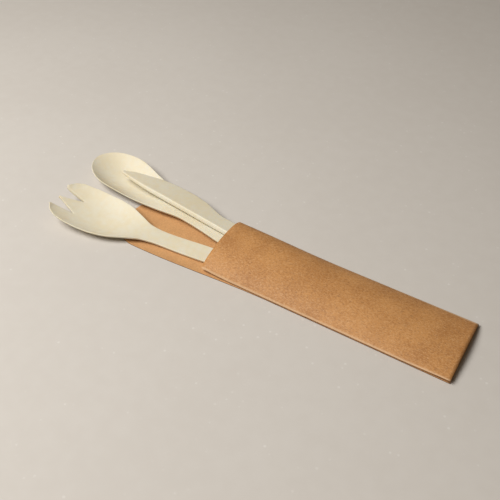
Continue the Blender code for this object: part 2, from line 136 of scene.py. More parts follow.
class ForkSettings(bpy.types.PropertyGroup):
    head_width: size("Head width", "Widest part of the head", 37.4)
    neck_width: size("Neck width", "Narrowest part of the neck", 12.0)
    head_length: size("Head length", "Length of the cupped head", 76.0)
    tip_spread: size("Tip spread", "Width across the outer tine tips", 20.6)
    depth: size("Depth", "Depth of the cupped head", 5.0)
    deepest: size("Deepest place", "Distance from the tips to the deepest place", 32.0)
    lead: size("Lead", "How far the hollow would run on past the tips", 12.0)
    tip_rise: size("Tip rise", "How far the tine tips turn up", 5.4)
    tine_length: size("Tine length", "Length of the gaps between the tines", 15.5)
    middle_tine: size("Middle tine", "Width of the middle tine at its root", 13.2)
    tine_tip: size("Tine tip", "Width of each tine's tip", 1.0)
    turn: angle("Turn", "Turn in the sleeve, seen from above", 6.1)
    mouth_y: size("Place at mouth", "Sideways place where it crosses the mouth", -11.4)
    mouth_z: size("Height at mouth", "Height of its underside at the mouth", 0.7)
    inserted: size("Inserted", "Length inside the sleeve", 59.0)


class SpoonSettings(bpy.types.PropertyGroup):
    bowl_width: size("Bowl width", "Widest part of the bowl", 34.9)
    neck_width: size("Neck width", "Narrowest part of the neck", 11.6)
    bowl_length: size("Bowl length", "Length of the bowl with its shoulder", 76.0)
    round_length: size("Round length", "Length of the bowl's rounded end", 26.0)
    depth: size("Depth", "Depth of the bowl", 7.2)
    deepest: share("Deepest place", "Share of the bowl from its tip to its deepest place", 0.35)
    tip_rise: size("Tip rise", "How far the tip turns up", 0.5)
    turn: angle("Turn", "Turn in the sleeve, seen from above", -9.6)
    mouth_y: size("Place at mouth", "Sideways place where it crosses the mouth", 4.9)
    mouth_z: size("Height at mouth", "Height of its underside at the mouth", 3.4)
    inserted: size("Inserted", "Length inside the sleeve", 49.5)
    rise: size("Bowl rise", "Height of the bowl's rim above the handle's face", 3.12)


class KnifeSettings(bpy.types.PropertyGroup):
    blade_width: size("Blade width", "Widest part of the blade", 18.9)
    neck_width: size("Neck width", "Narrowest part of the neck", 12.0)
    blade_length: size("Blade length", "Length of the blade", 85.5)
    spine: size("Spine", "Thickness of the spine", 2.8)
    spine_band: size("Spine band", "Width of the thick band along the spine", 0.8)
    edge: size("Edge", "Thickness of the cutting edge", 0.9)
    tip_share: share("Tip share", "Share of the spine's thickness left at the tip", 0.62)
    tip_bend: size("Tip bend", "How far the spine curves in at the tip", 3.0)
    bend_length: size("Bend length", "Length over which the spine curves in", 36.0)
    draft_width: size("Draft width", "Width over which the underside is drawn in", 4.0)
    rim_crease: share("Rim crease", "How firmly the spine and the edge keep their corners", 0.6)
    tooth: size("Tooth", "Length of one tooth of the cutting edge", 1.5)
    tooth_depth: size("Tooth depth", "Depth of the teeth", 0.22)
    turn: angle("Turn", "Turn in the sleeve, seen from above", -6.8)
    roll: angle("Roll", "Lean towards the cutting side", 7.5)
    pitch: angle("Pitch", "Slope along its length", 1.091)
    mouth_y: size("Place at mouth", "Sideways place where it crosses the mouth", 4.6)
    mouth_z: size("Height at mouth", "Height of its underside at the mouth", 7.5365)
    inserted: size("Inserted", "Length inside the sleeve", 77.4)


class FinishSettings(bpy.types.PropertyGroup):
    kraft: colour("Kraft", "Main colour of the card", (0.535, 0.256, 0.083))
    kraft_dark: colour("Kraft dark", "Darker cloud in the card", (0.395, 0.172, 0.050))
    kraft_fibre: colour("Kraft fibre", "Pale fibres in the card", (0.68, 0.40, 0.19))
    kraft_speck: colour("Kraft speck", "Dark specks in the card", (0.20, 0.092, 0.038))
    # The inner face is paler partly as the liner's own tone and partly as painted sheen on the flat
    # tongue.
    kraft_inner_and_sheen: share("Kraft inner", "How much paler the card's inner face is", 0.4)
    # Crease and the worn kraft colour lay a pale line on the folds: partly pressed-fold wear, partly a
    # painted highlight.
    crease: share("Crease", "How pale the pressed folds are", 0.5)
    kraft_worn_and_highlight: colour("Kraft worn", "Kraft where a fold is pressed", (0.78, 0.55, 0.34))
    # The cut-edge colour is partly the card's darker cut and partly painted shade for the contact line
    # along the edges.
    cut_edge_and_shade: colour("Cut edge", "Colour of the card where it is cut", (0.17, 0.078, 0.03))
    cream: colour("Cream", "Main colour of the bioplastic", (0.708, 0.652, 0.508))
    cream_deep: colour("Cream deep", "Deeper cloud in the bioplastic", (0.70, 0.585, 0.36))
    cream_speck: colour("Cream speck", "Plant specks in the bioplastic", (0.56, 0.42, 0.25))
    cream_roughness: share("Cream roughness", "Roughness of the bioplastic", 0.6)


class StageSettings(bpy.types.PropertyGroup):
    floor: colour("Floor", "Colour of the table", (0.567, 0.525, 0.472))
    floor_vein: colour("Floor vein", "Paler marks in the table", (0.72, 0.69, 0.64))
    key_power: FloatProperty(
        name="Key power", description="Power of the key lamp", default=13.8, unit="POWER"
    )
    key_width: size("Key width", "Width of the key lamp", 600.0)
    sky: FloatProperty(
        name="Sky", description="Strength of the surrounding light", default=0.11, min=0.0
    )
    sky_colour: colour("Sky colour", "Colour of the surrounding light", (1.0, 0.82, 0.6))


# Curves and grids


def ease(t):
    """Smooth step from 0 to 1."""
    t = min(1.0, max(0.0, t))
    return t * t * (3 - 2 * t)


def through(points, t):
    """Smooth curve through (position, value) points that never overshoots them."""
    if t <= points[0][0]:
        return points[0][1]
    if t >= points[-1][0]:
        return points[-1][1]
    slopes = [(b[1] - a[1]) / (b[0] - a[0]) for a, b in zip(points, points[1:])]
    i = max(k for k in range(len(slopes)) if points[k][0] <= t)

    def tangent(k):
        if k == 0 or k == len(slopes) or slopes[k - 1] * slopes[k] <= 0:
            return 0.0
        return 2 * slopes[k - 1] * slopes[k] / (slopes[k - 1] + slopes[k])

    (x0, y0), (x1, y1) = points[i], points[i + 1]
    h = x1 - x0
    u = (t - x0) / h
    start, end = tangent(i) * h, tangent(i + 1) * h
    return (
        (2 * u**3 - 3 * u**2 + 1) * y0
        + (u**3 - 2 * u**2 + u) * start
        + (3 * u**2 - 2 * u**3) * y1
        + (u**3 - u**2) * end
    )


def spread(start, end, count, bunch=""):
    """Positions from start up to end, closer together at the end named in bunch."""
    out = []
    for i in range(count):
        t = i / count
        if bunch == "start":
            t = 1 - cos(t * pi / 2)
        elif bunch == "end":
            t = sin(t * pi / 2)
        out.append(start + (end - start) * t)
    return out


def mapped_grid(bm, columns, rows, place):
    """Grid of columns by rows vertices, each moved to place(column, row)."""
    made = bmesh.ops.create_grid(bm, x_segments=columns - 1, y_segments=rows - 1, size=1.0)
    for vert in made["verts"]:
        column = round((vert.co.x + 1) / 2 * (columns - 1))
        row = round((vert.co.y + 1) / 2 * (rows - 1))
        vert.co = Vector(place(column, row))


# Objects and their walls


def object_from(name, bm, materials):
    """Mesh object at the origin, with its doubles merged and its faces smooth."""
    bmesh.ops.remove_doubles(bm, verts=bm.verts, dist=MERGE_DISTANCE)
    for face in bm.faces:
        face.smooth = True
    mesh = bpy.data.meshes.new(name)
    bm.to_mesh(mesh)
    bm.free()
    for material in materials:
        mesh.materials.append(material)
    obj = bpy.data.objects.new(name, mesh)
    bpy.context.scene.collection.objects.link(obj)
    return obj


def wall(obj, thickness, offset, factor=None, crease=0.0):
    """Wall on an open sheet; factor gives each vertex's share of the thickness."""
    modifier = obj.modifiers.new("Wall", "SOLIDIFY")
    modifier.thickness = thickness
    modifier.offset = offset
    modifier.edge_crease_inner = crease
    modifier.edge_crease_outer = crease
    if factor is not None:
        group = obj.vertex_groups.new(name="wall")
        for vert in obj.data.vertices:
            group.add([vert.index], factor(vert.co), "REPLACE")
        modifier.vertex_group = group.name
    return modifier


def soften(obj):
    """Round the moulded edges by one subdivision."""
    modifier = obj.modifiers.new("Soft edges", "SUBSURF")
    modifier.levels = 1
    modifier.render_levels = 1
    modifier.boundary_smooth = "PRESERVE_CORNERS"


def bake(obj):
    """Turn the modifiers into mesh."""
    deps = bpy.context.evaluated_depsgraph_get()
    made = bpy.data.meshes.new_from_object(obj.evaluated_get(deps))
    obj.modifiers.clear()
    obj.vertex_groups.clear()
    old = obj.data
    made.name = old.name
    obj.data = made
    bpy.data.meshes.remove(old)


# Shapes that the implements share


def laid_out(piece, roll=0.0, pitch=0.0):
    """Where an implement lies: its crossing of the mouth, its turn and its lean."""
    sleeve = bpy.context.scene.cutlery_sleeve
    crossing = Matrix.Translation((-sleeve.length / 2, piece.mouth_y, piece.mouth_z))
    heading = Matrix.Rotation(pi + piece.turn, 4, "Z")
    lean = Matrix.Rotation(-pitch, 4, "Y") @ Matrix.Rotation(roll, 4, "X")
    return crossing @ heading @ lean @ Matrix.Translation((-piece.inserted, 0, 0))


def handle_end(item, s, half):
    """Half width near the handle's rounded end."""
    corner = item.handle_corner
    if s >= corner:
        return half
    return half - corner + sqrt(max(0.0, corner**2 - (corner - s) ** 2))


def dish(depth, across):
    """Drop below the rim at a place across the bowl, -1 to 1, a little flatter than a parabola."""
    flatness = 2.3
    return depth * (1 - abs(across) ** flatness)


def bowl_depth(to_tip, full, deepest, length, lead=0.0):
    """Depth along a bowl; lead is how far the hollow would run on past the tip."""
    if to_tip < deepest:
        return full * sin((to_tip + lead) / (deepest + lead) * pi / 2)
    return full * (1 - ease((to_tip - deepest) / (length - deepest)))


def wall_share(item, s, length):
    """Share of the handle's thickness, thinner in a head of the given length."""
    thin = item.head_wall / item.handle_thickness
    from_tip, over = 0.6 * length, 0.5 * length
    return thin + (1 - thin) * ease((item.length - s - from_tip) / over)


def edge_rows(count):
    """Places across from -1 to 1, with a closer pair at each side to keep the rim firm."""
    rim, widest = 0.972, 0.93
    inner = [2 * i / (count - 1) - 1 for i in range(count)]
    return [-1.0, -rim] + [v * widest for v in inner] + [rim, 1.0]


def settle(obj, matrix, tucked, sheet_on_top=True):
    """Make the wall, draw its underside in, round its edges and move the mesh to its place.

    tucked moves a point of the underside, and sheet_on_top is False where the wall was made
    upwards, from a sheet that is the underside.
    """
    item = bpy.context.scene.cutlery_implement
    sheet = len(obj.data.vertices)
    bake(obj)
    bm = bmesh.new()
    bm.from_mesh(obj.data)
    upright = [e for e in bm.edges if (e.verts[0].index < sheet) != (e.verts[1].index < sheet)]
    count, cuts = len(bm.verts), 2
    bmesh.ops.subdivide_edges(bm, edges=upright, cuts=cuts)
    bm.verts.index_update()
    upper_edge = []
    for vert in bm.verts:
        if vert.index >= count:
            ends = [e.other_vert(vert) for e in vert.link_edges]
            end = next(v for v in ends if v.index < count)
            lower = (end.index >= sheet) == sheet_on_top
            side = (vert.co - end.co) * (cuts + 1)
            vert.co = end.co + side * (item.undercut if lower else item.rounded)
            if not lower:
                upper_edge.append(end)
    for vert in upper_edge:
        vert.co.z -= item.round_drop
    for vert in bm.verts:
        if vert.index < count and (vert.index >= sheet) == sheet_on_top:
            vert.co = tucked(vert.co)
    bm.to_mesh(obj.data)
    bm.free()
    soften(obj)
    bake(obj)
    obj.data.transform(matrix)


def drawn_in(item, p, half, end=None):
    """Underside point of a wall, moved in from the sides and from a rounded end."""
    most_share = 0.25
    x, y = p.x, p.y * (1 - min(most_share, item.tuck / half))
    if end is not None and x > end:
        x = end + (x - end) * (1 - item.tuck / (item.length - end))
    return Vector((x, y, p.z))


def handle_columns(item, neck):
    """Places along the handle from its rounded end up to the neck."""
    return spread(0.0, item.handle_corner, 7, "start") + spread(item.handle_corner, neck, 24)


# Fork


def fork_half_width(item, fork, s):
    """Half width of the fork, with its tines closed."""
    head, neck = fork.head_width / 2, fork.neck_width / 2
    reach = fork.head_length
    points = [
        (0.0, fork.tip_spread / 2),
        (0.05 * reach, 0.78 * head),
        (0.13 * reach, 0.94 * head),
        (0.28 * reach, head),
        (0.42 * reach, 0.985 * head),
        (0.58 * reach, 0.89 * head),
        (0.76 * reach, 0.60 * head),
        (0.90 * reach, 1.17 * neck),
        (1.05 * reach, neck),
        (1.40 * reach, item.handle_width / 2),
    ]
    return handle_end(item, s, through(points, item.length - s))


def fork_rim(item, fork, s):
    """Height of the rim above the underside of the handle."""
    rise = fork.depth + item.head_wall - item.handle_thickness
    head, reach, tip = item.handle_thickness + rise, fork.head_length, fork.tip_rise
    points = [
        (0.0, head + tip),
        (0.10 * reach, head + 0.75 * tip),
        (0.22 * reach, head + 0.38 * tip),
        (0.42 * reach, head),
        (0.75 * reach, item.handle_thickness + 0.62 * rise),
        (1.00 * reach, item.handle_thickness + 0.16 * rise),
        (1.25 * reach, item.handle_thickness),
    ]
    return through(points, item.length - s)


def fork_surface(item, fork, s, y):
    """Point of the fork's upper face."""
    across = min(1.0, abs(y) / fork_half_width(item, fork, s))
    depth = bowl_depth(item.length - s, fork.depth, fork.deepest, fork.head_length, fork.lead)
    return (s, y, fork_rim(item, fork, s) - dish(depth, across))


def fork_strip(item, fork, side, s, t):
    """Place across one of the three strips, side -1, 0 or 1, t from 0 to 1."""
    half = fork_half_width(item, fork, s)
    split = fork.middle_tine / 2 * min(1.0, half / (fork.head_width / 2))
    root = item.length - fork.tine_length
    middle = outer = split
    if s > root:
        along = (s - root) / fork.tine_length
        hollow = 0.92
        middle = split + (fork.tine_tip / 2 - split) * along**hollow
        outer = split + (fork.tip_spread / 2 - fork.tine_tip - split) * along
    if side == 0:
        return middle * (2 * t - 1)
    return side * (outer + (half - outer) * t)


def strip_rows(rows):
    """Places across one strip from 0 to 1, closer together at both sides."""
    margin = 0.035
    inner = [i / (rows - 3) for i in range(rows - 2)]
    return [0.0] + [margin + (1 - 2 * margin) * v for v in inner] + [1.0]


class CUTLERY_OT_fork(bpy.types.Operator):
    """Make the fork: one cupped sheet that parts into three pointed tines"""

    bl_idname = "cutlery.fork"
    bl_label = "Fork"

    def execute(self, context):
        item, fork = context.scene.cutlery_implement, context.scene.cutlery_fork
        root = item.length - fork.tine_length
        neck = item.length - 1.1 * fork.head_length
        near_tip = [1.2 * MM, 0.9 * MM, 0.4 * MM, 0.0]
        stops = handle_columns(item, neck) + spread(neck, root, 48)
        stops += spread(root, item.length - near_tip[0], 16)
        stops += [item.length - step for step in near_tip[1:]]
        bm = bmesh.new()
        for side, rows in ((-1, 13), (0, 15), (1, 13)):
            def place(column, row, side=side, rows=rows):
                t = strip_rows(rows)[row]
                if side < 0:
                    t = 1 - t
                s = stops[column]
                return fork_surface(item, fork, s, fork_strip(item, fork, side, s, t))
            mapped_grid(bm, len(stops), rows, place)
        obj = object_from("fork_dressed", bm, [bioplastic("fork_cream", 3.0)])
        wall(
            obj, item.handle_thickness, -1.0,
            lambda p: wall_share(item, p.x, fork.head_length), item.rim_crease,
        )
        settle(
            obj, laid_out(fork),
            lambda p: drawn_in(item, p, fork_half_width(item, fork, min(p.x, item.length))),
        )
        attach(obj, "root")
        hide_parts("fork")
        return {"FINISHED"}


# Spoon


def spoon_half_width(item, spoon, s):
    """Half width of the spoon, round at both ends."""
    to_tip, blunt = item.length - s, 0.02
    bowl, neck, reach = spoon.bowl_width / 2, spoon.neck_width / 2, spoon.bowl_length
    points = [
        (spoon.round_length, bowl),
        (0.63 * reach, 0.85 * bowl),
        (0.92 * reach, 0.61 * bowl),
        (1.20 * reach, 1.03 * neck),
        (1.35 * reach, neck),
        (1.65 * reach, item.handle_width / 2),
    ]
    half = through(points, to_tip)
    if to_tip < spoon.round_length:
        half *= sqrt(max(blunt**2, 1 - (1 - to_tip / spoon.round_length) ** 2))
    return handle_end(item, s, half)


def spoon_rim(item, spoon, s):
    """Height of the rim above the underside of the handle."""
    to_tip, reach = item.length - s, spoon.bowl_length
    level = spoon.deepest * reach
    points = [(level, 1.0), (0.66 * reach, 0.28), (0.95 * reach, 0.08), (1.20 * reach, 0.0)]
    tip = spoon.tip_rise * (1 - ease(to_tip / level))
    return item.handle_thickness + spoon.rise * through(points, to_tip) + tip


def spoon_surface(item, spoon, s, across):
    """Point of the spoon's upper face, at a place across it from -1 to 1."""
    deepest = spoon.deepest * spoon.bowl_length
    depth = bowl_depth(item.length - s, spoon.depth, deepest, spoon.bowl_length)
    half = spoon_half_width(item, spoon, s)
    return (s, across * half, spoon_rim(item, spoon, s) - dish(depth, across))


class CUTLERY_OT_spoon(bpy.types.Operator):
    """Make the spoon: one sheet with a deep oval bowl"""

    bl_idname = "cutlery.spoon"
    bl_label = "Spoon"

    def execute(self, context):
        item, spoon = context.scene.cutlery_implement, context.scene.cutlery_spoon
        neck = item.length - 1.2 * spoon.bowl_length
        full = item.length - spoon.round_length
        stops = handle_columns(item, neck) + spread(neck, full, 40)
        stops += spread(full, item.length, 30, "end") + [item.length]
        rows = edge_rows(25)

        def place(column, row):
            return spoon_surface(item, spoon, stops[column], rows[row])

        bm = bmesh.new()
        mapped_grid(bm, len(stops), len(rows), place)
        obj = object_from("spoon_dressed", bm, [bioplastic("spoon_cream", 7.0)])
        wall(
            obj, item.handle_thickness, -1.0,
            lambda p: wall_share(item, p.x, spoon.bowl_length), item.rim_crease,
        )
        settle(
            obj, laid_out(spoon),
            lambda p: drawn_in(item, p, spoon_half_width(item, spoon, min(p.x, full)), full),
        )
        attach(obj, "root")
        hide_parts("spoon")
        return {"FINISHED"}


# Knife


def knife_width(item, knife, s):
    """Reach of the cutting side from the straight line of the spine."""
    reach, wide = knife.blade_length, knife.blade_width
    points = [
        (0.0, 0.28 * wide),
        (0.08 * reach, 0.49 * wide),
        (0.21 * reach, 0.71 * wide),
        (0.34 * reach, 0.90 * wide),
        (0.48 * reach, 0.98 * wide),
        (0.60 * reach, wide),
        (0.75 * reach, 0.93 * wide),
        (0.87 * reach, 0.77 * wide),
        (reach, knife.neck_width),
        (1.38 * reach, item.handle_width),
    ]
    return through(points, item.length - s)


def knife_tooth(item, knife, s):
    """Depth of the teeth at a place along the belly."""
    to_tip, length = item.length - s, knife.blade_length
    past_tip = ease((to_tip - 0.06 * length) / (0.06 * length))
    before_neck = ease((0.8 * length - to_tip) / (0.1 * length))
    present = past_tip * before_neck
    return knife.tooth_depth * present * abs(sin(pi * to_tip / knife.tooth))


def knife_near(item, knife, s):
    """How far the spine has curved in from its straight line, near the tip."""
    bend = max(0.0, 1 - (item.length - s) / knife.bend_length)
    return knife.tip_bend * bend**2


def knife_thickness(item, knife, s, y):
    """Full spine along the near side, falling to the edge across the blade."""
    to_tip = item.length - s
    blade = 1 - ease((to_tip - 0.95 * knife.blade_length) / (0.5 * knife.blade_length))
    spine = knife.spine + (item.handle_thickness - knife.spine) * (1 - blade)
    full_from = 0.5 * knife.blade_length
    spine *= knife.tip_share + (1 - knife.tip_share) * ease(to_tip / full_from)
    across = y - knife_near(item, knife, s) - knife.spine_band
    fall = max(0.0, across) / (knife.blade_width - knife.spine_band)
    return spine - blade * (spine - knife.edge) * min(1.0, fall)


def knife_drawn_in(item, knife, p):
    """Underside point of the knife, moved in from the side of the spine."""
    near_side = max(0.0, 1 + p.y / knife.draft_width)
    return p - Vector((0, item.tuck * near_side, 0))


class CUTLERY_OT_knife(bpy.types.Operator):
    """Make the knife: a flat underside, a thick straight spine and a fine toothed edge"""

    bl_idname = "cutlery.knife"
    bl_label = "Knife"

    def execute(self, context):
        item, knife = context.scene.cutlery_implement, context.scene.cutlery_knife
        neck = item.length - knife.blade_length
        near_tip = [1.0 * MM, 0.8 * MM, 0.4 * MM, 0.0]
        stops = handle_columns(item, neck) + spread(neck, item.length - near_tip[0], 240)
        stops += [item.length - step for step in near_tip[1:]]
        shares = [0.0, 0.03, 0.08, 0.13, 0.17, 0.25, 0.37, 0.5, 0.62, 0.74, 0.85, 0.93, 0.975, 1.0]

        def place(column, row):
            s = stops[column]
            width = knife_width(item, knife, s)
            corner = width / 2 - handle_end(item, s, width / 2)
            near = knife_near(item, knife, s) + corner
            far = width - corner - knife_tooth(item, knife, s)
            return (s, -near - (far - near) * shares[len(shares) - 1 - row], 0.0)

        bm = bmesh.new()
        mapped_grid(bm, len(stops), len(shares), place)
        obj = object_from("knife_dressed", bm, [bioplastic("knife_cream", 11.0)])
        wall(
            obj, knife.spine, 1.0,
            lambda p: knife_thickness(item, knife, p.x, -p.y) / knife.spine, knife.rim_crease,
        )
        settle(
            obj, laid_out(knife, knife.roll, knife.pitch),
            lambda p: knife_drawn_in(item, knife, p), sheet_on_top=False,
        )
        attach(obj, "root")
        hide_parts("knife")
        return {"FINISHED"}


# Sleeve

# Each arch has the power of its outline and the root that rounds its shoulder.
NEAR_ARCH_AT_MOUTH = (1.8, 1.6)
FAR_ARCH_AT_MOUTH = (3.0, 1.9)
ARCH_PAST_KNIFE = (2.0, 1.25)


def arch_peak(sleeve, x):
    """Height and place across of the front panel's highest line."""
    knife = bpy.context.scene.cutlery_knife
    mouth, end = -sleeve.length / 2, sleeve.length / 2
    at_mouth = SLEEVE_TOP - sleeve.card / 2
    knife_end = mouth + knife.inserted
    drop = tan(knife.pitch) * min(x - mouth, knife.inserted)
    fall = 2 * ease((x - knife_end) / (end - knife_end) / 2)
    height = (at_mouth - drop) * (1 - fall) + (sleeve.end_height - sleeve.card / 2) * fall
    along = min(1.0, (x - mouth) / knife.inserted)
    return height, knife.mouth_y * (1 - along)


def near_lift(sleeve, x):
    """How far the near fold stands off the back panel, more where no glue holds it."""
    mouth, end = -sleeve.length / 2, sleeve.length / 2
    from_glue = max(mouth + sleeve.glue_from_mouth - x, x - (end - sleeve.glue_from_end), 0.0)
    reach = sleeve.glue_from_mouth if x < 0 else sleeve.glue_from_end
    return sleeve.glued_lift + (sleeve.flap_lift - sleeve.glued_lift) * ease(from_glue / reach)


def front_point(sleeve, x, t):
    """Front panel from the far fold, t = 0, to the near fold, t = 1."""
    peak, peak_y = arch_peak(sleeve, x)
    near = t > 0.5
    edge_z = sleeve.card / 2 + sleeve.fold_radius + (near_lift(sleeve, x) if near else 0.0)
    side = -sleeve.width / 2 - sleeve.near_overhang if near else sleeve.width / 2
    out = abs(cos(t * pi))
    settled = ease((x + sleeve.length / 2) / bpy.context.scene.cutlery_knife.inserted)
    at_mouth = NEAR_ARCH_AT_MOUTH if near else FAR_ARCH_AT_MOUTH
    power, root = (a + (b - a) * settled for a, b in zip(at_mouth, ARCH_PAST_KNIFE))
    rise = max(0.0, 1 - out**power) ** (1 / root)
    return (x, peak_y + (side - peak_y) * out, edge_z + (peak - edge_z) * rise)


def near_fold_point(sleeve, x, t):
    """Near fold turning under the front panel, then the flap down to the back panel."""
    lift = near_lift(sleeve, x)
    turn_z = sleeve.fold_radius - sleeve.card - sleeve.glue
    middle_z = sleeve.card / 2
    near = -sleeve.width / 2 - sleeve.near_overhang
    if t < 0.5:
        bend = pi * (1 + t)
        y = near + sleeve.fold_radius * (1 + cos(bend))
        return (x, y, middle_z + sleeve.fold_radius + lift + turn_z * sin(bend))
    along = 2 * t - 1
    to_end = min(x + sleeve.length / 2, sleeve.length / 2 - x)
    wide = sleeve.flap_width - sleeve.flap_taper * (1 - min(1.0, to_end / sleeve.flap_taper_length))
    y = near + sleeve.fold_radius + (wide - sleeve.fold_radius) * along
    return (x, y, middle_z + sleeve.card + sleeve.glue + lift * (1 - ease(along)))


def tongue_share(sleeve, x):
    """Share of the width left at x by the tongue's rounded end."""
    start = -sleeve.length / 2 - sleeve.tongue_length + sleeve.tongue_corner
    past = (start - x) / sleeve.tongue_corner
    roundness, blunt = 2.2, 0.02
    if past <= 0:
        return 1.0
    return max(blunt, 1 - past**roundness) ** (1 / roundness)


def back_point(sleeve, x, t, arc):
    """Back panel from its near edge to the far fold, then the fold's lower half."""
    mouth, radius = -sleeve.length / 2, sleeve.fold_radius
    flare = sleeve.tongue_flare * ease((mouth + sleeve.flare_inside - x) / sleeve.flare_length)
    near = -sleeve.width / 2 - sleeve.near_margin - flare
    tangent = sleeve.width / 2 - radius
    left, middle = tongue_share(sleeve, x), -flare / 2
    curl = ease(1 - (mouth - x) / sleeve.curl_length)
    back_z = sleeve.card / 2
    if arc == 0:
        across = near + (tangent - near) * t
        curled = sleeve.edge_curl * ease(1 - (across - near) / sleeve.edge_curl_width) * left
        return (x, middle + (across - middle) * left, back_z + curled)
    flat_y = middle + (tangent + radius * pi / 2 * arc - middle) * left
    curled_y = tangent + radius * sin(arc * pi / 2)
    curled_z = back_z + radius * (1 - cos(arc * pi / 2))
    return (x, flat_y + (curled_y - flat_y) * curl, back_z + (curled_z - back_z) * curl)


class CUTLERY_OT_sleeve(bpy.types.Operator):
    """Make the sleeve: one card sheet folded round the handles, with a rounded tongue"""

    bl_idname = "cutlery.sleeve"
    bl_label = "Sleeve"

    def execute(self, context):
        sleeve, look = context.scene.cutlery_sleeve, context.scene.cutlery_finish
        flat_rows, arc_rows, front_rows, fold_rows = 25, 8, 97, 25
        closer_near_edge = 1.8
        mouth, end = -sleeve.length / 2, sleeve.length / 2
        tube = spread(mouth, end, 80) + [end]
        start = mouth - sleeve.tongue_length
        round_start = start + sleeve.tongue_corner
        stops = spread(start, round_start, 24, "start") + spread(round_start, mouth, 26) + tube

        def place_back(column, row):
            if row < flat_rows:
                across = (row / (flat_rows - 1)) ** closer_near_edge
                return back_point(sleeve, stops[column], across, 0)
            return back_point(sleeve, stops[column], 1.0, (row - flat_rows + 1) / arc_rows)

        def place_front(column, row):
            if row < front_rows:
                return front_point(sleeve, tube[column], row / (front_rows - 1))
            return near_fold_point(sleeve, tube[column], (row - front_rows + 1) / (fold_rows - 1))

        bm = bmesh.new()
        mapped_grid(bm, len(stops), flat_rows + arc_rows, place_back)
        mapped_grid(bm, len(tube), front_rows + fold_rows - 1, place_front)
        inner_card = kraft_face("kraft_inner_and_sheen", look.kraft_inner_and_sheen)
        cards = [inner_card, kraft_cut(), kraft_face("kraft_outer", 0.0)]
        obj = object_from("sleeve_dressed", bm, cards)
        modifier = wall(obj, sleeve.card, 0.0)
        # The rim and the outer face take the second and the third card, counted from the sheet's.
        modifier.material_offset_rim = 1
        modifier.material_offset = 2
        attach(obj, "root")
        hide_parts("sleeve")
        return {"FINISHED"}


# Finishes


def group_tree(name, inputs, outputs):
    """Empty node group with its named sockets: (name, kind, default)."""
    tree = bpy.data.node_groups.new(name, "ShaderNodeTree")
    for label, kind, value in inputs:
        socket = tree.interface.new_socket(label, in_out="INPUT", socket_type=kind)
        if value is not None:
            socket.default_value = value
    for label, kind in outputs:
        tree.interface.new_socket(label, in_out="OUTPUT", socket_type=kind)
    return tree, tree.nodes.new("NodeGroupInput"), tree.nodes.new("NodeGroupOutput")


def feed(tree, made, inputs):
    """Fill a node's sockets; inputs holds (socket, value or socket to link from)."""
    for key, value in inputs:
        if isinstance(value, bpy.types.NodeSocket):
            tree.links.new(value, made.inputs[key])
        else:
            made.inputs[key].default_value = value


def node(tree, kind, inputs=(), **settings):
    """New node with its settings and its sockets filled."""
    made = tree.nodes.new(kind)
    for key, value in settings.items():
        setattr(made, key, value)
    feed(tree, made, inputs)
    return made


def maths(tree, operation, *values):
    """Result of a maths node on one or two values."""
    return node(tree, "ShaderNodeMath", enumerate(values), operation=operation).outputs[0]


def noise(tree, place, scale, detail, distortion=0.0):
    """Value of a noise pattern."""
    inputs = [("Vector", place), ("Scale", scale), ("Detail", detail), ("Distortion", distortion)]
    return node(tree, "ShaderNodeTexNoise", inputs).outputs[0]


def ranged(tree, value, low, high, out_low=0.0, out_high=1.0, way="SMOOTHSTEP"):
    """Value carried from one range to another, within its ends."""
    inputs = [
        ("Value", value), ("From Min", low), ("From Max", high), ("To Min", out_low), ("To Max", out_high),
    ]
    return node(tree, "ShaderNodeMapRange", inputs, interpolation_type=way).outputs["Result"]


def blended(tree, factor, first, second):
    """Mix of two colours, by the colour sockets of a Mix node."""
    inputs = [(0, factor), (6, first), (7, second)]
    return node(tree, "ShaderNodeMix", inputs, data_type="RGBA").outputs[2]


def tinted(tree, base, mask, strength, tint):
    """Base colour with a tint laid on it where a mask is high."""
    return blended(tree, maths(tree, "MULTIPLY", mask, strength), base, rgba(tint))


def cloud_group():
    """Soft clouding: a slow pattern with a finer one laid over it."""
    tree, start, end = group_tree(
        "clouding",
        [("Vector", "NodeSocketVector", None), ("Scale", "NodeSocketFloat", 40.0),
         ("Finer", "NodeSocketFloat", 9.0)],
        [("Cloud", "NodeSocketFloat")],
    )
    given = start.outputs
    finer = maths(tree, "MULTIPLY", given["Scale"], given["Finer"])
    slow = noise(tree, given["Vector"], given["Scale"], 3.0)
    fine = noise(tree, given["Vector"], finer, 4.0)
    both = maths(tree, "ADD", slow, fine)
    tree.links.new(ranged(tree, both, 0.72, 1.28), end.inputs["Cloud"])
    return tree


def fibre_group():
    """Thin fibres that lie in three directions."""
    tree, start, end = group_tree(
        "fibres",
        [("Vector", "NodeSocketVector", None), ("Scale", "NodeSocketFloat", 900.0),
         ("Low", "NodeSocketFloat", 0.6), ("High", "NodeSocketFloat", 0.72)],
        [("Fibre", "NodeSocketFloat")],
    )
    given, layers = start.outputs, []
    for turn, stretch in ((0.35, 0.3), (-0.9, 0.36), (1.4, 0.33)):
        turned = node(
            tree, "ShaderNodeMapping",
            [("Vector", given["Vector"]), ("Rotation", (0.0, 0.0, turn)), ("Scale", (stretch, 1.0, 1.0))],
        )
        warp = noise(tree, turned.outputs[0], given["Scale"], 1.5, 0.6)
        layers.append(ranged(tree, warp, given["Low"], given["High"], way="LINEAR"))
    top = maths(tree, "MAXIMUM", layers[0], layers[1])
    tree.links.new(maths(tree, "MAXIMUM", top, layers[2]), end.inputs["Fibre"])
    return tree


